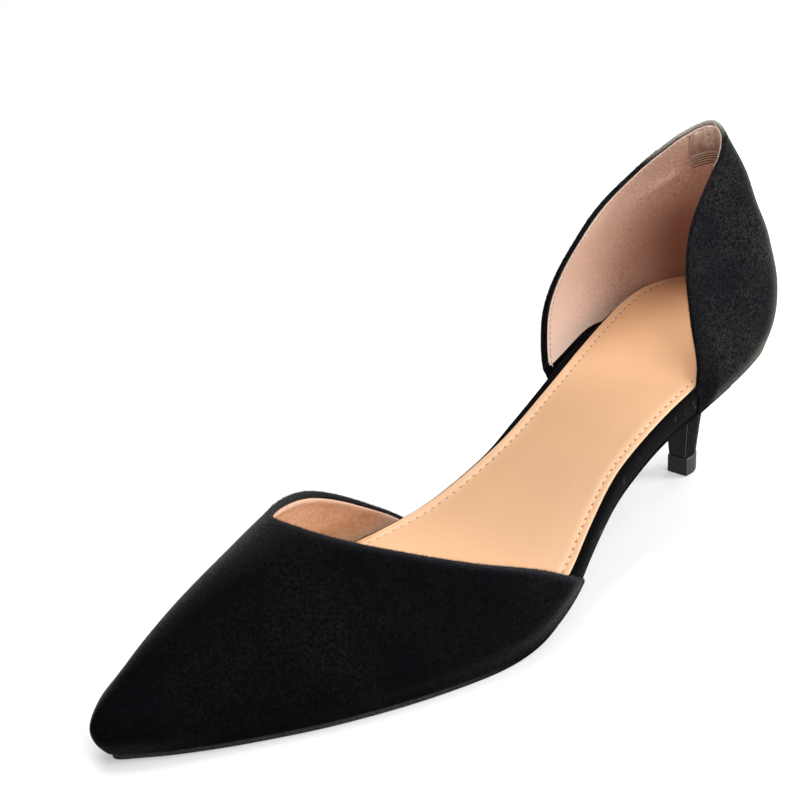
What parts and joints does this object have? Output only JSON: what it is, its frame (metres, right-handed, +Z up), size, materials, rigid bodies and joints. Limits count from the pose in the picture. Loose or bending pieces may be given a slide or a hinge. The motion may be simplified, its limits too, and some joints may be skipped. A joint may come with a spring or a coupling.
{
  "type": "heeled shoe",
  "caption": "Left pointed-toe pump in black faux suede with an open waist, a separate heel quarter, a tan sock and a slim low heel; stands empty on forefoot and heel tip.",
  "frame": {"origin": "middle of the shoe's box, on the floor", "axes": "+X from heel to toe, +Y to the wearer's left, +Z up"},
  "size_m": [0.26, 0.081, 0.1164],
  "materials": {
    "black_suede": "napped faux suede",
    "tan_leather": "smooth satin",
    "black_sole": "satin",
    "black_tip": "satin"
  },
  "bodies": {
    "root": {"outsole": "black_sole", "insole": "black_suede", "sock": "tan_leather", "vamp": "black_suede", "quarter": "black_suede", "heel": "black_suede", "top_piece": "black_tip"}
  },
  "joints": []
}
